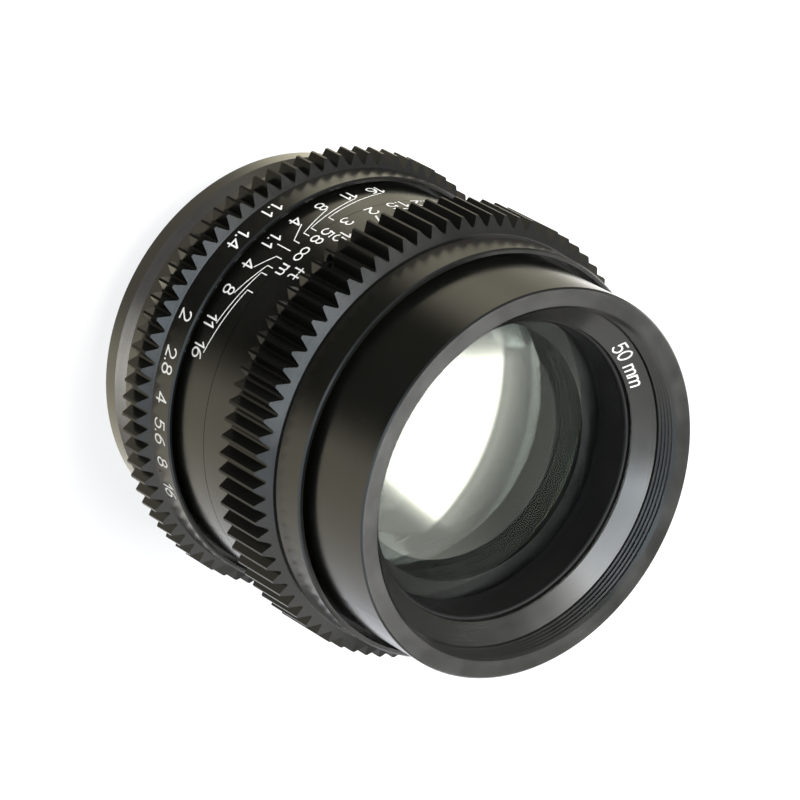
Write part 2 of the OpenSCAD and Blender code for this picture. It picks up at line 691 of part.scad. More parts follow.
module front_cell() color(matte) {
  z_top = z_name - 0.05;
  turned([[third_clear_r, z_cell], [cell_r, z_cell], [cell_r, z_block_top - 0.05],
    [cell_front_r, z_block_top - 0.05],
          [cell_front_r, z_top], [name_ring_r + 0.6 + glass_fit, z_top],
          [name_ring_r + 0.6 + glass_fit, z_name - 3.6],
          [front_glass_r + glass_fit, z_name - 3.6], [front_glass_r + glass_fit, z_front_spacer_low()],
          [second_glass_r + glass_fit, z_front_spacer_low()],
          [second_glass_r + glass_fit, z_second_rim - 0.02],
          [third_glass_r + glass_fit, z_second_rim - 0.02],
          [third_glass_r + glass_fit, z_third_rim - 0.02],
          [third_clear_r, z_third_rim - 0.02]]);
}

function z_front_rim_back() = z_front_back - sag(front_glass_back, front_glass_r);
function z_front_spacer_low() = z_front_rim_back() - 1.2;

module front_glass() color(clear_glass)
  glass_blank(front_glass_r, z_front_vertex, front_glass_front, z_front_back, front_glass_back,
              z_front_rim_back() - 1, z_front_vertex + 1);

module front_spacer() color(matte) {
  in_r = second_glass_r - 0.9;
  z0 = z_second_vertex - sag(second_front, in_r) + 0.05;
  z1 = z_front_rim_back() - 0.05;
  turned([[in_r, z0], [second_glass_r, z0], [second_glass_r, z_front_spacer_low() + 0.05],
          [front_glass_r, z_front_spacer_low() + 0.05], [front_glass_r, z1], [in_r, z1]]);
}

module second_glass() color(clear_glass)
  glass_blank(second_glass_r, z_second_vertex, second_front, z_second_back, second_back,
              z_second_rim - 1, z_second_vertex + 1);

module thin_spacer() color(matte)
  ring(third_glass_r - 1.2, third_glass_r,
       z_third_vertex - sag(third_front, third_glass_r - 1.2) + 0.04, z_second_rim - 0.05 + 0.4);

module third_glass() color(clear_glass)
  glass_blank(third_glass_r, z_third_vertex, third_front, z_third_back, third_back,
              z_third_rim, z_third_vertex + 1);

// Rear group

module rear_cell() color(matte) difference() {
  turned([[rear_glass_r + glass_fit, z_rear_cell], [rear_cell_r, z_rear_cell],
    [rear_cell_r, z_block_low],
          [cell_r, z_block_low], [cell_r, z_block_low + rear_flange_t],
          [fourth_clear_r, z_block_low + rear_flange_t],
          [fourth_clear_r, z_fourth_rim + 0.02], [fourth_glass_r + glass_fit, z_fourth_rim + 0.02],
          [fourth_glass_r + glass_fit, z_cement], [rear_glass_r + glass_fit, z_cement]]);
  sector(rod_ring_r - rod_r - link_play, rod_ring_r + rod_r + link_play, z_block_low - 1,
    z_block_low + rear_flange_t + 1,
         link_angle - ap_throw + ap_rest - rod_half_arc(), ap_throw + 2 * rod_half_arc());
}

// Half the arc that the iris rod takes up in its slot
function rod_half_arc() = asin((rod_r + link_play) / (rod_ring_r - rod_r));

module fourth_glass() color(clear_glass)
  glass_blank(fourth_glass_r, z_fourth_vertex, -fourth_front, z_cement, 0, z_cement, z_fourth_rim);

module fifth_glass() color(clear_glass)
  glass_blank(rear_glass_r, z_cement, 0, z_fifth_vertex, -fifth_back, z_fifth_vertex - 1,
    z_cement - 0.01);

module rear_spacer() color(matte)
  ring(rear_spacer_in_r, rear_glass_r, z_rear_vertex - sag(rear_front, rear_spacer_in_r) + 0.05,
       z_fifth_vertex + sag(fifth_back, rear_spacer_in_r) - 0.05);

module rear_glass() color(clear_glass)
  glass_blank(rear_glass_r, z_rear_vertex, rear_front, z_rear_back, -rear_back, z_rear_back - 1,
    z_rear_vertex + 1);

module rear_retaining_ring() color(matte) difference() {
  ring(rear_ring_in_r, rear_glass_r, z_rear_ring_top - rear_ring_t, z_rear_ring_top);
  for (a = [0, 180]) rotate([0, 0, a])
    translate([rear_ring_in_r - 1, -0.6, z_rear_ring_top - rear_ring_t - eps]) cube([2, 1.2, 0.7]);
}

// Iris

module iris_housing() color(matte) difference() {
  turned([[iris_open_r + 0.4, z_plate], [iris_cavity_r, z_plate],
    [iris_cavity_r, z_block_low + rear_flange_t + 0.05],
          [iris_r, z_block_low + rear_flange_t + 0.05], [iris_r, z_plate + iris_plate_t],
          [iris_open_r + 0.4, z_plate + iris_plate_t]]);
  for (i = [0 : blade_count - 1]) rotate([0, 0, 360 / blade_count * i])
    translate([pivot_ring_r, 0, z_plate - 1])
    cylinder(r = pivot_pin_r + pin_fit, h = iris_plate_t + 2, $fn = 48);
}

module iris_retainer() color(steel)
  ring(iris_cavity_r - 0.6, iris_cavity_r - seat_fit, z_cam - 0.05 - iris_ring_t, z_cam - 0.05);

// Place of a blade's drive pin when the aperture ring is turned by t degrees from wide open
function drive_pin_at(t) = polar(pivot_ring_r, 0) + polar(blade_arm,
  -90 - blade_turn / 2 + blade_ratio * t);

// The same place as the cam ring sees it at rest
function cam_point(t) =
  let (p = drive_pin_at(t), a = atan2(p.y, p.x) + t - ap_rest) polar(norm(p), a);

module cam_slot() {
  w = drive_pin_r + run_fit;
  over = 1.5;
  path = [for (i = [0 : cam_slot_steps]) cam_point(-over + (ap_throw + 2 * over) * i / cam_slot_steps)];
  side = [for (i = [0 : cam_slot_steps])
    let (d = path[min(i + 1, cam_slot_steps)] - path[max(i - 1, 0)]) [-d.y, d.x] / norm(d) * w];
  polygon(concat([for (i = [0 : cam_slot_steps]) path[i] + side[i]],
                 [for (i = [cam_slot_steps : -1 : 0]) path[i] - side[i]]));
  for (p = [path[0], path[cam_slot_steps]]) translate(p) circle(r = w, $fn = 32);
}

module iris_cam_ring() color(steel) difference() {
  ring(cam_bore_r, cam_r, z_cam, z_cam + cam_t);
  for (i = [0 : blade_count - 1]) rotate([0, 0, 360 / blade_count * i]) translate([0, 0, z_cam - 1])
    linear_extrude(cam_t + 2) cam_slot();
  rotate([0, 0, link_angle]) translate([rod_ring_r, 0, z_cam - 1])
    cylinder(r = rod_r + seat_fit, h = cam_t + 2, $fn = 48);
}

module iris_rod() color(steel) rotate([0, 0, link_angle]) translate([rod_ring_r, 0, z_rod])
  cylinder(r = rod_r, h = z_cam + cam_t - z_rod, $fn = 48);

// Outline of a wide open blade whose pivot lies on +X
module blade_outline() {
  mid_r = iris_open_r + blade_w / 2;
  drive = drive_pin_at(0);
  pivot = polar(pivot_ring_r, 0);
  translate(pivot) circle(r = 2 * pivot_pin_r, $fn = 48);
  translate(drive) circle(r = drive_boss, $fn = 48);
  bar(drive, pivot, 2 * drive_pin_r + 0.4);
  bar(polar(mid_r, 4), pivot, 2);
  translate(polar(mid_r, blade_span)) circle(r = blade_w / 2, $fn = 64);
}

module iris_blade(i) {
  z = z_blades + i * blade_pitch;
  color(matte) rotate([0, 0, 360 / blade_count * i])
    translate([pivot_ring_r, 0, 0]) rotate([0, 0, blade_rest]) translate([-pivot_ring_r, 0, 0])
      union() {
      sector(iris_open_r, iris_open_r + blade_w, z, z + blade_t, 0, blade_span);
      translate([0, 0, z]) linear_extrude(blade_t) blade_outline();
      translate([pivot_ring_r, 0, z]) cylinder(r = pivot_pin_r, h = z_plate + iris_plate_t - 0.15 - z,
        $fn = 48);
      translate([drive_pin_at(0).x, drive_pin_at(0).y, z_cam + 0.1])
        cylinder(r = drive_pin_r, h = z + blade_t - z_cam - 0.1, $fn = 48);
    }
}

bayonet_mount();
mount_screws();
mount_index_dot();
rear_baffle();
rear_housing();
housing_screws();
fixed_barrel();
focus_keys();
focus_stop_pin();
focus_retaining_ring();
focus_sleeve();
focus_gear();
focus_gear_screws();
helicoid_nut();
aperture_ring();
aperture_link();
link_screw();
block_tube();
front_barrel();
name_ring();
front_retaining_ring();
front_cell();
front_glass();
front_spacer();
second_glass();
thin_spacer();
third_glass();
iris_housing();
iris_retainer();
rear_cell();
fourth_glass();
fifth_glass();
rear_spacer();
rear_glass();
rear_retaining_ring();
iris_cam_ring();
iris_rod();
iris_blade(0);  // iris_blade_01
iris_blade(1);  // iris_blade_02
iris_blade(2);  // iris_blade_03
iris_blade(3);  // iris_blade_04
iris_blade(4);  // iris_blade_05
iris_blade(5);  // iris_blade_06
iris_blade(6);  // iris_blade_07
iris_blade(7);  // iris_blade_08
iris_blade(8);  // iris_blade_09
iris_blade(9);  // iris_blade_10
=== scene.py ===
import math

import bmesh
import bpy
from mathutils import Matrix, Vector


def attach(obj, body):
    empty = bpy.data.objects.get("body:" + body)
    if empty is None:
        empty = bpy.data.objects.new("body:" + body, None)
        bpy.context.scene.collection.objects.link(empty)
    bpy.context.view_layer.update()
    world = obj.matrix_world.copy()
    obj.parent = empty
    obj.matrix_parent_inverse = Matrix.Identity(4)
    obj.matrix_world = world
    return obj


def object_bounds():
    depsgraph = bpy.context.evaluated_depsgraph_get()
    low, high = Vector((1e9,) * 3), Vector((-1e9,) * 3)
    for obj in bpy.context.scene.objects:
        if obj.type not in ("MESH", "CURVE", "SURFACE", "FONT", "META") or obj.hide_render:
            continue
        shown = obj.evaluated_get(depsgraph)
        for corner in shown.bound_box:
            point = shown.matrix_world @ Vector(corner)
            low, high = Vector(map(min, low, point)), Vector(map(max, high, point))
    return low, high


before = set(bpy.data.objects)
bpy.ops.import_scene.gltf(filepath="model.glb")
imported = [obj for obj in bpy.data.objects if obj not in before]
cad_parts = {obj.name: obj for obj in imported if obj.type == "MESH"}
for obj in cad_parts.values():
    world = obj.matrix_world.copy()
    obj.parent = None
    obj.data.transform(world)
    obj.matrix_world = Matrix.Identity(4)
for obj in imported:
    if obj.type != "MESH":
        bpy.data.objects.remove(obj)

CAD_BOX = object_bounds()
MM = 0.001
FOOT = 0.3048

# Finish, in millimetres: grain and patches of metal, haze of glass, grain of paint, radius of the tooth roots
GRAIN = 0.06
PATCH = 9.0
HAZE = 6.0
PAINT_GRAIN = 0.35
TOOTH_ROOT_R = 31.25

# Shine of milled teeth, and what a coating still reflects inside the lens
MILLED_SHINE = 0.16
INNER_COATING = (0.02, 0.036, 0.018)

# Surfaces that carry marks, in millimetres: radii, and the edges of the name ring's cone as (radius, height)
BAND_R = 31.1
BARREL_R = 29.7
NAME_CONE = ((22.3, 58.4), (25.26, 60.2))

# Marks, in millimetres and degrees: thickness of the paint, sizes, heights and angles
PAINT = 0.015
NUMBER_H = 2.1
STOP_H = 2.2
LINE_W = 0.17
INDEX_ANGLE = -90.0
NAME_ANGLE = -180.0
STOP_Z = 18.6
WIDEST_AT = 0.3
DEPTH_Z = 22.25
INDEX_Z = 25.3
INDEX_HALF = 1.5
LEADER_FOOT_Z = 23.6
LEADER_BEND_Z = 25.6
LEADER_END_Z = 26.8
LEADER_STEPS = 10
METRES_Z = 28.7
FEET_Z = 31.5
INFINITY_Z = 29.0
METRE_SIGN = (-5.8, 28.95)
FOOT_SIGN = (-4.8, 31.5)

# Focus scale: focal length and lead of the helicoid in millimetres, and where infinity stands in degrees
FOCAL = 51.5
HELICOID_LEAD = 19.6
INFINITY_AT = 0.85

# View of the photograph
CAMERA_AT = Vector((228.55, -502.35, 630.73)) * MM
CAMERA_AIM = Vector((-0.38, -3.004, 35.0)) * MM
CAMERA_ROLL = math.radians(119.0)
CAMERA_LENS = 257.69
CAMERA_SENSOR = 36.0
CAMERA_NEAR = 0.01

# Ceiling, seen in reflections only, in metres and azimuths: a bright panel that widens and fades behind the lens
CEILING_SIZE = 3.0
CEILING_Z = 0.6
CEILING_TONES = ((0.82, 0.95, 1.06), (1.0, 0.99, 0.97))
PANEL_TURN = 122.0
PANEL_LEVEL = 20.0
PANEL_HALF = 0.2
PANEL_WIDENS = 0.3
PANEL_EDGES = (-24.0, -40.0)
PANEL_START = (-0.2, -0.05)
PANEL_END = 0.35
FADE_LEVEL = 3.3
FADE_RATE = -13.0
BRIGHT_SKY = 10.0

# Low wall around the stage, seen in reflections only: the side with the bright lobe and the side of the weak rest
WALL_R = 1.4
WALL_H = 0.24
WALL_LEVEL = 12.0
WALL_SIDE = -2.0
WALL_FRONT = -50.0

# Floor: its own level, then its gain, tones, sides and the radii where it changes, all as reflections see them
FLOOR_SIZE = 6.0
FLOOR_Z = CAD_BOX[0][2]
FLOOR_LEVEL = 0.84
FLOOR_GAIN = 1.1
FLOOR_TONES = ((1.0, 0.94, 0.72), (0.95, 0.97, 1.03))
DARK_SIDE = -82.0
WEAK_SIDE = -172.0
STRONG_SIDE = 140.0
COOL_SIDE = 90.0
NEAR_ENDS = (0.038, 0.050)
NEAR_LEVEL = 0.9
NEAR_OPEN = 1.3
FAR_LEVEL = 0.06
FAR_RISES = (0.15, 0.4)
WALL_SHARE = 0.6

# Light for matt surfaces, in metres and watts, and the sky
KEY_AT = (-0.2, -0.1, 0.52)
KEY_AIM = (-0.05, 0.0, 0.0)
KEY_SIZE = (0.7, 0.6)
KEY_POWER = 12.0
SKY_COLOUR = (1.0, 0.98, 0.94, 1.0)
SKY_LEVEL = 0.4


# Materials

def material(name):
    """A new node material with its Principled shader."""
    mat = bpy.data.materials.new(name)
    mat.use_nodes = True
    tree = mat.node_tree
    return mat, tree, tree.nodes["Principled BSDF"]


def add(tree, kind, inputs=None, **settings):
    """Adds a node, sets its properties, then fills or links its inputs by name or number."""
    node = tree.nodes.new(kind)
    for key, value in settings.items():
        setattr(node, key, value)
    for key, value in (inputs or {}).items():
        if isinstance(value, bpy.types.NodeSocket):
            tree.links.new(value, node.inputs[key])
        else:
            node.inputs[key].default_value = value
    return node


def math_node(tree, operation, a, b=0.0):
    """Result of one sum on values or sockets."""
    return add(tree, "ShaderNodeMath", {0: a, 1: b}, operation=operation).outputs[0]


def remap(tree, value, low, high, start=0.3, stop=0.7):
    """Maps a value from one range to another, by default from the usual range of a noise."""
    node = add(tree, "ShaderNodeMapRange",
               {"Value": value, "From Min": start, "From Max": stop, "To Min": low, "To Max": high})
    return node.outputs["Result"]


def noise(tree, vector, scale, detail=2.0, rough=0.5):
    """Value of a noise."""
    node = add(tree, "ShaderNodeTexNoise",
               {"Vector": vector, "Scale": scale, "Detail": detail, "Roughness": rough})
    return node.outputs["Fac"]


def blend(tree, factor, first, second):
    """Mix of two colours."""
    node = add(tree, "ShaderNodeMix", {"Factor": factor, 6: (*first, 1.0), 7: (*second, 1.0)}, data_type="RGBA")
    return node.outputs[2]


def turned_coordinates(tree):
    """Object coordinates, the radius and height that a lathe tool follows, and the radius alone."""
    place = add(tree, "ShaderNodeTexCoord").outputs["Object"]
    parts = add(tree, "ShaderNodeSeparateXYZ", {0: place})
    flat = add(tree, "ShaderNodeCombineXYZ", {0: parts.outputs[0], 1: parts.outputs[1]})
    radius = add(tree, "ShaderNodeVectorMath", {0: flat.outputs[0]}, operation="LENGTH").outputs["Value"]
    lathe = add(tree, "ShaderNodeCombineXYZ", {0: radius, 1: parts.outputs[2]})
    return place, lathe.outputs[0], radius


def turned_metal(name, dark, light, roughness, metallic=0.0, specular=0.5,
                 line_pitch=0.16, line_depth=0.004, grain_depth=0.002, teeth_from=None):
    """Turned and finished metal: tool lines around the axis, fine grain and faint patches of handling.
    Upright faces beyond the radius teeth_from, in millimetres, are milled and dull."""
    mat, tree, shader = material(name)
    place, lathe, radius = turned_coordinates(tree)
    lines = noise(tree, lathe, 1.0 / (line_pitch * MM), detail=3.0, rough=0.6)
    grain = noise(tree, place, 1.0 / (GRAIN * MM), detail=1.0)
    patches = noise(tree, place, 1.0 / (PATCH * MM), detail=4.0, rough=0.62)
    tree.links.new(blend(tree, patches, dark, light), shader.inputs["Base Color"])
    worn = math_node(tree, "ADD", remap(tree, patches, -0.05, 0.07), remap(tree, lines, -0.03, 0.03))
    tree.links.new(math_node(tree, "ADD", worn, roughness), shader.inputs["Roughness"])
    height = math_node(tree, "ADD", math_node(tree, "MULTIPLY", lines, line_depth),
                       math_node(tree, "MULTIPLY", grain, grain_depth))
    bump = add(tree, "ShaderNodeBump", {"Strength": 0.35, "Distance": MM, "Height": height})
    tree.links.new(bump.outputs[0], shader.inputs["Normal"])
    shader.inputs["Metallic"].default_value = metallic
    shader.inputs["Specular IOR Level"].default_value = specular
    if teeth_from:
        normal = add(tree, "ShaderNodeSeparateXYZ", {0: add(tree, "ShaderNodeNewGeometry").outputs["Normal"]})
        upright = remap(tree, math_node(tree, "ABSOLUTE", normal.outputs[2]), 1.0, 0.0, 0.2, 0.4)
        milled = remap(tree, radius, 0.0, upright, teeth_from * MM, (teeth_from + 0.05) * MM)
        shine = remap(tree, milled, specular, MILLED_SHINE, 0.0, 1.0)
        tree.links.new(shine, shader.inputs["Specular IOR Level"])
    return mat


def coated_glass(name, tint, coating, ior):
    """Polished glass with the hue of its coating and a trace of dust. From inside it reflects hardly anything."""
    mat, tree, shader = material(name)
    place = add(tree, "ShaderNodeTexCoord").outputs["Object"]
    haze = noise(tree, place, 1.0 / (HAZE * MM), detail=5.0, rough=0.7)
    tree.links.new(remap(tree, haze, 0.0, 0.02), shader.inputs["Roughness"])
    tree.links.new(blend(tree, haze, tint, (0.97, 0.99, 0.98)), shader.inputs["Base Color"])
    shader.inputs["Transmission Weight"].default_value = 1.0
    shader.inputs["IOR"].default_value = ior
    inside = add(tree, "ShaderNodeNewGeometry").outputs["Backfacing"]
    tree.links.new(blend(tree, inside, coating, INNER_COATING), shader.inputs["Specular Tint"])
    return mat


def paint(name, colour):
    """Enamel that fills an engraved mark, a little uneven."""
    mat, tree, shader = material(name)
    place = add(tree, "ShaderNodeTexCoord").outputs["Object"]
    uneven = noise(tree, place, 1.0 / (PAINT_GRAIN * MM), detail=3.0)
    dull = tuple(0.82 * c for c in colour)
    tree.links.new(blend(tree, uneven, dull, colour), shader.inputs["Base Color"])
    tree.links.new(remap(tree, uneven, 0.45, 0.65), shader.inputs["Roughness"])
    return mat


ANODISED = turned_metal("black_anodised", (0.003, 0.0032, 0.0024), (0.006, 0.006, 0.005), 0.2, specular=0.4)
GEAR_BLACK = turned_metal("gear_black", (0.0025, 0.0027, 0.0022), (0.005, 0.005, 0.0045), 0.2, specular=0.4,
                          grain_depth=0.003, teeth_from=TOOTH_ROOT_R)
MATTE = turned_metal("matte_black", (0.003, 0.003, 0.003), (0.006, 0.006, 0.006), 0.5, specular=0.22,
                     line_pitch=0.4)
DEEP_BLACK = turned_metal("deep_black", (0.002, 0.002, 0.002), (0.004, 0.004, 0.004), 0.5, specular=0.08,
                          line_pitch=0.4)
CHROME = turned_metal("mount_chrome", (0.21, 0.21, 0.215), (0.28, 0.28, 0.28), 0.26, metallic=1.0,
                      line_pitch=0.1)
STEEL = turned_metal("steel", (0.22, 0.22, 0.23), (0.34, 0.34, 0.34), 0.34, metallic=1.0)
BLADE = turned_metal("blade_steel", (0.02, 0.02, 0.022), (0.04, 0.04, 0.042), 0.42, metallic=0.6)
FRONT_GLASS = coated_glass("front_glass_coated", (0.93, 0.98, 0.95), (0.97, 1.0, 0.87), 1.6)
INNER_GLASS = coated_glass("inner_glass_coated", (0.93, 0.98, 0.93), INNER_COATING, 1.55)
WHITE = paint("white_enamel", (0.80, 0.80, 0.78))

LOOKS = {
    "bayonet_mount": CHROME, "mount_index_dot": WHITE,
    "focus_gear": GEAR_BLACK, "aperture_ring": GEAR_BLACK, "front_glass": FRONT_GLASS,
}
for names, look in (
    (("rear_housing", "fixed_barrel", "focus_sleeve", "front_barrel", "name_ring"), ANODISED),
    (("rear_baffle", "focus_retaining_ring", "helicoid_nut", "block_tube", "iris_housing",
      "focus_gear_screws", "rear_cell", "rear_spacer", "rear_retaining_ring"), MATTE),
    (("front_retaining_ring", "front_cell", "front_spacer", "thin_spacer"), DEEP_BLACK),
    (("second_glass", "third_glass", "fourth_glass", "fifth_glass", "rear_glass"), INNER_GLASS),
    (("mount_screws", "housing_screws", "link_screw", "focus_keys", "focus_stop_pin",
      "aperture_link", "iris_retainer", "iris_cam_ring", "iris_rod"), STEEL),
):
    LOOKS.update(dict.fromkeys(names, look))

for node_name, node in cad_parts.items():
    look = LOOKS.get(node_name, BLADE)
    for slot in node.material_slots:
        slot.material = look


# Marks

def stroke(shape, points, width):
    """Adds a flat line of the given width through points (x, y), in millimetres, with square ends."""
    points = [Vector((x, y, 0.0)) for x, y in points]
    points[0] += (points[0] - points[1]).normalized() * width / 2
    points[-1] += (points[-1] - points[-2]).normalized() * width / 2
    rows = []
    for i, p in enumerate(points):
        ahead = (points[min(i + 1, len(points) - 1)] - points[max(i - 1, 0)]).normalized()
        side = Vector((-ahead.y, ahead.x, 0.0)) * width / 2
        rows.append((shape.verts.new(p + side), shape.verts.new(p - side)))
    for a, b in zip(rows, rows[1:]):
        shape.faces.new((a[0], a[1], b[1], b[0]))


def spread(start, stop, steps):
    """Points along a straight line."""
    return [(start[0] + (stop[0] - start[0]) * i / steps, start[1] + (stop[1] - start[1]) * i / steps)
            for i in range(steps + 1)]


def arc(x, y, rx, ry, start, stop, steps=16):
    """Points on an ellipse between two angles in degrees."""
    turns = [math.radians(start + (stop - start) * i / steps) for i in range(steps + 1)]
    return [(x + rx * math.cos(t), y + ry * math.sin(t)) for t in turns]


# Engraver's letters for a height of 1: width, then the paths of the cutter
LETTERS = {
    "0": (0.6, [arc(0.3, 0.5, 0.3, 0.5, 90, 450)]),
    "1": (0.3, [[(0.02, 0.74), (0.27, 1.0)], [(0.27, 1.0), (0.27, 0.0)]]),
    "2": (0.6, [arc(0.3, 0.7, 0.3, 0.3, 165, -35) + [(0.02, 0.0)], [(0.0, 0.0), (0.6, 0.0)]]),
    "3": (0.58, [arc(0.28, 0.76, 0.26, 0.24, 150, -90), arc(0.28, 0.26, 0.3, 0.26, 90, -150)]),
    "4": (0.62, [[(0.46, 0.0), (0.46, 1.0)], [(0.44, 1.0), (0.0, 0.28)], [(0.0, 0.28), (0.62, 0.28)]]),
    "5": (0.58, [[(0.54, 1.0), (0.1, 1.0)], [(0.1, 1.0), (0.05, 0.56)],
                 arc(0.27, 0.33, 0.31, 0.33, 135, -150)]),
    "6": (0.6, [arc(0.3, 0.31, 0.3, 0.31, 90, 450), arc(0.62, 0.31, 0.62, 0.69, 180, 100)]),
    "7": (0.58, [[(0.0, 1.0), (0.58, 1.0)], [(0.58, 1.0), (0.2, 0.0)]]),
    "8": (0.6, [arc(0.3, 0.76, 0.25, 0.24, 90, 450), arc(0.3, 0.27, 0.3, 0.27, 90, 450)]),
    "9": (0.6, [arc(0.3, 0.69, 0.3, 0.31, 90, 450), arc(-0.02, 0.69, 0.62, 0.69, 0, -80)]),
    ".": (0.1, [[(0.05, 0.03), (0.05, 0.06)]]),
    " ": (0.2, []),
    "m": (0.8, [[(0.0, 0.0), (0.0, 0.62)], arc(0.2, 0.42, 0.2, 0.2, 180, 0) + [(0.4, 0.0)],
                arc(0.6, 0.42, 0.2, 0.2, 180, 0) + [(0.8, 0.0)]]),
    "f": (0.36, [[(0.16, 0.0)] + arc(0.35, 0.78, 0.19, 0.22, 180, 80), [(0.0, 0.6), (0.36, 0.6)]]),
    "t": (0.36, [[(0.16, 0.9)] + arc(0.33, 0.2, 0.17, 0.2, 180, 280), [(0.0, 0.6), (0.36, 0.6)]]),
    "inf": (1.24, [arc(0.31, 0.5, 0.31, 0.3, 0, 360), arc(0.93, 0.5, 0.31, 0.3, 180, 540)]),
}
LETTER_LINE = 0.125
LETTER_GAP = 0.21


def lettering(text, height):
    """Flat mesh of a row of engraver's letters, centred, in millimetres."""
    shape = bmesh.new()
    x = -(sum(LETTERS[c][0] for c in text) + LETTER_GAP * (len(text) - 1)) / 2
    for letter in text:
        width, paths = LETTERS[letter]
        for path in paths:
            stroke(shape, [((x + px) * height, (py - 0.5) * height) for px, py in path], LETTER_LINE * height)
        x += width + LETTER_GAP
    return shape


class Dial:
    """Collects flat marks and lays them on a round surface of the lens."""

    def __init__(self, name, body, surface):
        self.name, self.body, self.surface = name, body, surface
        self.mesh = bmesh.new()

    def put(self, shape, angle, height):
        """Lays a flat shape on the surface with its middle at an angle in degrees and a height."""
        copy = {}
        for v in shape.verts:
            copy[v] = self.mesh.verts.new(self.surface(v.co.x, v.co.y, math.radians(angle), height))
        for face in shape.faces:
            self.mesh.faces.new([copy[v] for v in face.verts])
        shape.free()

    def write(self, text, angle, height, size):
        """Writes a row of letters with its middle at an angle and a height."""
        self.put(lettering(text, size), angle, height)

    def done(self):
        """Makes the collected marks one painted piece that rides on its body."""
        data = bpy.data.meshes.new(self.name)
        self.mesh.to_mesh(data)
        self.mesh.free()
        data.materials.append(WHITE)
        piece = bpy.data.objects.new(self.name, data)
        bpy.context.scene.collection.objects.link(piece)
        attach(piece, self.body)


def round_surface(radius):
    """Lays x along the circumference and y along the axis."""
    r = radius + PAINT

    def place(x, y, angle, height):
        a = angle + x / radius
        return Vector((r * math.cos(a), r * math.sin(a), height + y)) * MM
    return place


def cone_surface(inner, outer):
    """Lays x clockwise around a cone between two (radius, height) edges and y up its slope."""
    slope = (Vector(outer) - Vector(inner)).normalized()
    middle = (Vector(outer) + Vector(inner)) / 2 + PAINT * Vector((-slope.y, slope.x))

    def place(x, y, angle, height):
        a = angle - x / middle.x
        r, z = middle + (y + height) * slope
        return Vector((r * math.cos(a), r * math.sin(a), z)) * MM
    return place


def mark_angle(offset):
    """Angle of a mark that lies an offset in degrees from the index line."""
    return INDEX_ANGLE - offset


def focus_offset(distance_m):
    """Turn of the focus ring, in degrees, from infinity to a distance in metres."""
    advance = FOCAL * FOCAL / (distance_m * 1000.0 - FOCAL)
    return advance / HELICOID_LEAD * 360.0


# Stops with the offset of each number, and depths of field with the offsets of the number and of its tick
STOPS = (("1.1", 7.2), ("1.4", -5.2), ("2", -29.3), ("2.8", -42.0), ("4", -52.2),
         ("5.6", -61.7), ("8", -70.7), ("16", -79.5))
DEPTHS = (("4", 9.0, 3.35), ("8", 17.8, 6.85), ("11", 27.3, 9.4), ("16", 36.0, 15.5))
METRES = ("8", "5", "3", "2", "1.5", "1.2", "1", "0.8", "0.7", "0.6", "0.5", "0.45")
FEET = ("15", "7", "5", "4", "3", "2.5", "2", "1.75", "1.5")

stops = Dial("aperture_numbers", "aperture_ring", round_surface(BAND_R))
for text, offset in STOPS:
    stops.write(text, mark_angle(offset), STOP_Z, STOP_H)
stops.done()

depth = Dial("depth_scale", "base", round_surface(BARREL_R))
depth.write("1.1", mark_angle(WIDEST_AT), DEPTH_Z, NUMBER_H)
index_line = bmesh.new()
stroke(index_line, spread((0.0, -INDEX_HALF), (0.0, INDEX_HALF), 2), LINE_W)
depth.put(index_line, mark_angle(0.0), INDEX_Z)
for text, numeral, tick in DEPTHS:
    for side in (-1, 1):
        depth.write(text, mark_angle(side * numeral), DEPTH_Z, NUMBER_H)
        bend = -math.radians(side * tick) * BARREL_R
        foot = -math.radians(side * numeral) * BARREL_R
        leader = bmesh.new()
        slant = spread((foot, LEADER_FOOT_Z), (bend, LEADER_BEND_Z), LEADER_STEPS)
        stroke(leader, slant + [(bend, LEADER_END_Z)], LINE_W)
        depth.put(leader, INDEX_ANGLE, 0.0)
depth.done()

focal = Dial("focal_length", "lens_block", cone_surface(*NAME_CONE))
focal.write("50 mm", NAME_ANGLE, 0.0, NUMBER_H)
focal.done()

distance = Dial("distance_scale", "focus_ring", round_surface(BARREL_R))
distance.write(["inf"], mark_angle(INFINITY_AT), INFINITY_Z, NUMBER_H)
for text, (offset, height) in (("m", METRE_SIGN), ("ft", FOOT_SIGN)):
    distance.write(text, mark_angle(offset), height, NUMBER_H)
for numbers, unit, height in ((METRES, 1.0, METRES_Z), (FEET, FOOT, FEET_Z)):
    for text in numbers:
        distance.write(text, mark_angle(INFINITY_AT + focus_offset(float(text) * unit)), height, NUMBER_H)
distance.done()


# Stage

def direction(azimuth):
    """Level direction at an azimuth in degrees."""
    a = math.radians(azimuth)
    return (math.cos(a), math.sin(a), 0.0)


def along(tree, place, azimuth):
    """Length of a place along a level direction."""
    node = add(tree, "ShaderNodeVectorMath", {0: place, 1: direction(azimuth)}, operation="DOT_PRODUCT")
    return node.outputs["Value"]


def ramp(tree, value, start, stop, low, high):
    """Smooth step between two levels."""
    node = add(tree, "ShaderNodeMapRange", {"Value": value, "From Min": start, "From Max": stop,
                                            "To Min": low, "To Max": high}, interpolation_type="SMOOTHSTEP")
    return node.outputs["Result"]


def exponent(tree, value, rate):
    """Exponential of a value times a rate."""
    return math_node(tree, "EXPONENT", math_node(tree, "MULTIPLY", value, rate))


def past(tree, value, limit):
    """What a value has beyond a limit."""
    return math_node(tree, "MAXIMUM", math_node(tree, "SUBTRACT", value, limit), 0.0)


def stage_material(name):
    """An empty node material for the stage."""
    mat = bpy.data.materials.new(name)
    mat.use_nodes = True
    mat.node_tree.nodes.clear()
    return mat, mat.node_tree


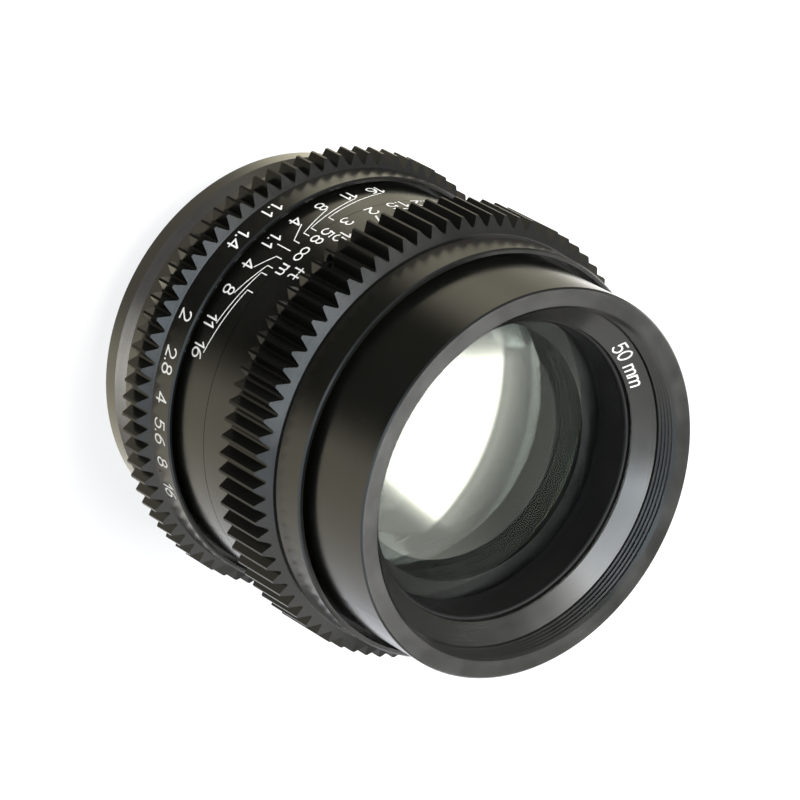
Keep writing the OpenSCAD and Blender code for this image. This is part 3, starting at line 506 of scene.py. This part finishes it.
def wall_level(tree, out):
    """Level of the low wall in a level direction from the lens: bright on one side, weak behind."""
    lobe = ramp(tree, along(tree, out, WALL_SIDE), 0.6, 0.97, 0.0, WALL_LEVEL)
    rest = ramp(tree, along(tree, out, WALL_FRONT), -0.7, 0.2, 0.8, 2.4)
    return math_node(tree, "ADD", lobe, rest)


def floor_material():
    """White floor with a faint shadow. Reflections see it bright beside the lens, dark towards the camera."""
    mat, tree = stage_material("floor_white")
    lit = add(tree, "ShaderNodeBsdfDiffuse", {"Color": (0.22, 0.21, 0.20, 1.0)})
    glow = add(tree, "ShaderNodeEmission", {"Color": (0.96, 0.98, 1.0, 1.0), "Strength": FLOOR_LEVEL})
    seen = add(tree, "ShaderNodeAddShader", {0: lit.outputs[0], 1: glow.outputs[0]})
    place = add(tree, "ShaderNodeTexCoord").outputs["Object"]
    out = add(tree, "ShaderNodeVectorMath", {0: place}, operation="NORMALIZE").outputs["Vector"]
    reach = add(tree, "ShaderNodeVectorMath", {0: place}, operation="LENGTH").outputs["Value"]
    cool = ramp(tree, along(tree, out, COOL_SIDE), -0.4, 1.0, 0.0, 1.0)
    dark = ramp(tree, along(tree, out, DARK_SIDE), 0.66, 0.93, 1.0, 0.0)
    weak = ramp(tree, along(tree, out, WEAK_SIDE), 0.85, 0.98, 1.0, 0.6)
    strong = ramp(tree, along(tree, out, STRONG_SIDE), 0.75, 1.0, 1.25, 2.0)
    open_side = math_node(tree, "MULTIPLY", dark, weak)
    far = math_node(tree, "ADD", math_node(tree, "MULTIPLY", strong, open_side), FAR_LEVEL)
    near = math_node(tree, "ADD", math_node(tree, "MULTIPLY", open_side, NEAR_OPEN), NEAR_LEVEL)
    close = ramp(tree, reach, *NEAR_ENDS, 1.0, 0.0)
    beside = add(tree, "ShaderNodeMix", {"Factor": close, 2: far, 3: near}).outputs[0]
    rise = ramp(tree, reach, *FAR_RISES, 0.0, WALL_SHARE)
    level = math_node(tree, "ADD", math_node(tree, "MULTIPLY", beside, FLOOR_GAIN),
                      math_node(tree, "MULTIPLY", rise, wall_level(tree, out)))
    tone = blend(tree, cool, *FLOOR_TONES)
    mirrored = add(tree, "ShaderNodeEmission", {"Color": tone, "Strength": level})
    glossy = add(tree, "ShaderNodeLightPath").outputs["Is Glossy Ray"]
    pick = add(tree, "ShaderNodeMixShader", {0: glossy, 1: seen.outputs[0], 2: mirrored.outputs[0]})
    add(tree, "ShaderNodeOutputMaterial", {"Surface": pick.outputs[0]})
    return mat


def ceiling_material():
    """Bright panel with soft edges that fades out behind the lens and cools towards the camera."""
    mat, tree = stage_material("ceiling_panel")
    place = add(tree, "ShaderNodeTexCoord").outputs["Object"]
    depth_on = along(tree, place, PANEL_TURN)
    across = along(tree, place, PANEL_TURN - 90.0)
    half = math_node(tree, "ADD", math_node(tree, "MULTIPLY", depth_on, PANEL_WIDENS), PANEL_HALF)
    softness = remap(tree, across, *PANEL_EDGES, -0.01, 0.01)
    edge = exponent(tree, past(tree, math_node(tree, "ABSOLUTE", across), half), softness)
    core = ramp(tree, depth_on, PANEL_END - 0.02, PANEL_END + 0.02, PANEL_LEVEL, 0.0)
    fade = exponent(tree, past(tree, depth_on, PANEL_END + 0.05), FADE_RATE)
    tail = math_node(tree, "MULTIPLY", fade, FADE_LEVEL)
    front = ramp(tree, depth_on, *PANEL_START, 0.08, 1.0)
    shape = math_node(tree, "MULTIPLY", edge, front)
    glow = math_node(tree, "MULTIPLY", math_node(tree, "ADD", core, tail), shape)
    sky = ramp(tree, along(tree, place, BRIGHT_SKY), -0.1, 0.45, 0.5, 2.0)
    level = math_node(tree, "ADD", glow, sky)
    tone = blend(tree, ramp(tree, depth_on, -0.2, -0.02, 0.0, 1.0), *CEILING_TONES)
    light = add(tree, "ShaderNodeEmission", {"Color": tone, "Strength": level})
    add(tree, "ShaderNodeOutputMaterial", {"Surface": light.outputs[0]})
    return mat


def wall_material():
    """Low wall that bevels and edges mirror."""
    mat, tree = stage_material("low_wall")
    place = add(tree, "ShaderNodeTexCoord").outputs["Object"]
    out = add(tree, "ShaderNodeVectorMath", {0: place}, operation="NORMALIZE").outputs["Vector"]
    level = wall_level(tree, out)
    light = add(tree, "ShaderNodeEmission", {"Color": (1.0, 0.97, 0.92, 1.0), "Strength": level})
    add(tree, "ShaderNodeOutputMaterial", {"Surface": light.outputs[0]})
    return mat


def stage_piece(name, places, faces, look):
    """A mesh that belongs to the stage, not to the lens."""
    mesh = bpy.data.meshes.new(name)
    mesh.from_pydata(places, [], faces)
    mesh.materials.append(look)
    obj = bpy.data.objects.new(name, mesh)
    bpy.context.scene.collection.objects.link(obj)
    return obj


def flat_card(name, size, look):
    """A level square."""
    h = size / 2
    return stage_piece(name, [(-h, -h, 0), (h, -h, 0), (h, h, 0), (-h, h, 0)], [(0, 1, 2, 3)], look)


def round_wall(name, radius, height, look, steps=64):
    """An upright wall around the lens."""
    places = []
    faces = []
    for i in range(steps):
        x, y, _ = direction(360.0 * i / steps)
        places += [(radius * x, radius * y, 0.0), (radius * x, radius * y, height)]
        here, after = 2 * i, 2 * ((i + 1) % steps)
        faces.append((here, after, after + 1, here + 1))
    return stage_piece(name, places, faces, look)


def turn_to(obj, at, facing):
    """Places an object with its face towards a point."""
    obj.rotation_mode = "QUATERNION"
    obj.rotation_quaternion = (Vector(at) - Vector(facing)).normalized().to_track_quat("Z", "Y")
    obj.location = at


def only_in_reflections(obj):
    """Hides an object from the camera and keeps it from lighting or shading matt surfaces."""
    obj.visible_camera = False
    obj.visible_diffuse = False
    obj.visible_shadow = False


floor = flat_card("floor", FLOOR_SIZE, floor_material())
floor.location.z = FLOOR_Z

ceiling = flat_card("ceiling_panel", CEILING_SIZE, ceiling_material())
ceiling.location.z = CEILING_Z
only_in_reflections(ceiling)

wall = round_wall("low_wall", WALL_R, WALL_H, wall_material())
wall.location.z = FLOOR_Z
only_in_reflections(wall)


def soft_light(name, at, facing, size, strength):
    """Area light for the matt surfaces. The panel above stands for it in reflections."""
    light = bpy.data.lights.new(name, "AREA")
    light.shape = "RECTANGLE"
    light.size, light.size_y = size
    light.energy = strength
    obj = bpy.data.objects.new(name, light)
    bpy.context.scene.collection.objects.link(obj)
    turn_to(obj, at, facing)
    obj.visible_camera = False
    obj.visible_glossy = False
    obj.visible_transmission = False


soft_light("key_light", KEY_AT, KEY_AIM, KEY_SIZE, KEY_POWER)

world = bpy.data.worlds.new("studio")
bpy.context.scene.world = world
world.use_nodes = True
sky = world.node_tree.nodes["Background"]
sky.inputs["Color"].default_value = SKY_COLOUR
sky.inputs["Strength"].default_value = SKY_LEVEL


# Camera

def aim_camera():
    """Puts the camera where the photograph was taken, with its roll."""
    camera = bpy.data.objects.new("camera", bpy.data.cameras.new("camera"))
    bpy.context.scene.collection.objects.link(camera)
    camera.data.lens = CAMERA_LENS
    camera.data.sensor_width = CAMERA_SENSOR
    camera.data.clip_start = CAMERA_NEAR
    ahead = (CAMERA_AIM - CAMERA_AT).normalized()
    level = ahead.cross(Vector((0, 0, 1))).normalized()
    above = level.cross(ahead)
    up = math.cos(CAMERA_ROLL) * above - math.sin(CAMERA_ROLL) * level
    right = ahead.cross(up)
    turn = Matrix((right, up, -ahead)).transposed()
    camera.matrix_world = Matrix.Translation(CAMERA_AT) @ turn.to_4x4()
    bpy.context.scene.camera = camera


aim_camera()
bpy.context.scene.view_settings.view_transform = "Standard"
